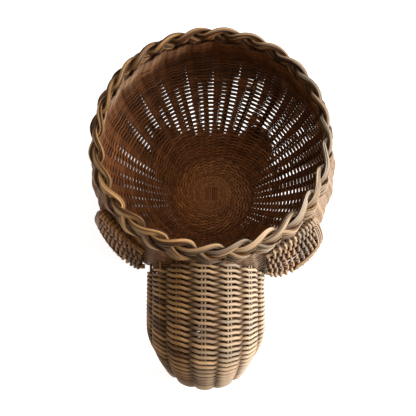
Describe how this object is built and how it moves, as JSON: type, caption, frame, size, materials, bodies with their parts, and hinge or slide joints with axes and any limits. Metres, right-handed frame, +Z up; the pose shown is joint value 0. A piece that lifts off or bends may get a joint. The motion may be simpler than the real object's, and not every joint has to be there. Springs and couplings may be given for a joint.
{
  "type": "elephant-shaped wicker basket",
  "caption": "Round twined reed bowl shaped as an elephant, open at the top with a plaited border, on woven legs, with a woven head, trunk, ears and tail.",
  "frame": {"origin": "under the middle of the whole basket, on the surface that its four soles stand on", "axes": "+Z up, head towards -Y, tail towards +Y, the right ear (seen from in front of the picture) towards +X"},
  "size_m": [0.2712, 0.3866, 0.2506],
  "materials": {
    "reed_brown": "stained split reed, satin",
    "reed_dark": "stained reed, dull",
    "reed_golden": "stained round reed, satin",
    "reed_pale": "pale round reed, satin"
  },
  "bodies": {
    "root": {"wall_weave_outside": "reed_brown", "wall_weave_inside": "reed_dark", "stake_bundle_01": "reed_golden", "stake_bundle_02": "reed_golden", "stake_bundle_03": "reed_golden", "stake_bundle_04": "reed_golden", "stake_bundle_05": "reed_golden", "stake_bundle_06": "reed_golden", "stake_bundle_07": "reed_golden", "stake_bundle_08": "reed_golden", "stake_bundle_09": "reed_golden", "stake_bundle_10": "reed_golden", "stake_bundle_11": "reed_golden", "stake_bundle_12": "reed_golden", "stake_bundle_13": "reed_golden", "stake_bundle_14": "reed_golden", "stake_bundle_15": "reed_golden", "stake_bundle_16": "reed_golden", "stake_bundle_17": "reed_golden", "stake_bundle_18": "reed_golden", "stake_bundle_19": "reed_golden", "stake_bundle_20": "reed_golden", "stake_bundle_21": "reed_golden", "stake_bundle_22": "reed_golden", "stake_bundle_23": "reed_golden", "stake_bundle_24": "reed_golden", "stake_bundle_25": "reed_golden", "stake_bundle_26": "reed_golden", "base_stick_01": "reed_pale", "base_stick_02": "reed_pale", "base_stick_03": "reed_pale", "base_stick_04": "reed_pale", "base_stick_05": "reed_pale", "base_stick_06": "reed_pale", "base_stick_07": "reed_pale", "base_stick_08": "reed_pale", "base_stick_09": "reed_pale", "base_stick_10": "reed_pale", "base_stick_11": "reed_pale", "base_stick_12": "reed_pale", "base_stick_13": "reed_pale", "base_weave_inside": "reed_brown", "base_weave_underside": "reed_brown", "head_weave": "reed_pale", "trunk_weave": "reed_pale", "trunk_tip": "reed_golden", "ear_left_weave": "reed_brown", "ear_left_rod": "reed_pale", "ear_right_weave": "reed_brown", "ear_right_rod": "reed_pale", "leg_front_left_weave": "reed_brown", "leg_front_left_sole": "reed_golden", "leg_front_right_weave": "reed_brown", "leg_front_right_sole": "reed_golden", "leg_back_left_weave": "reed_brown", "leg_back_left_sole": "reed_golden", "leg_back_right_weave": "reed_brown", "leg_back_right_sole": "reed_golden", "tail_plait": "reed_golden", "tail_tuft": "reed_pale"}
  },
  "joints": []
}
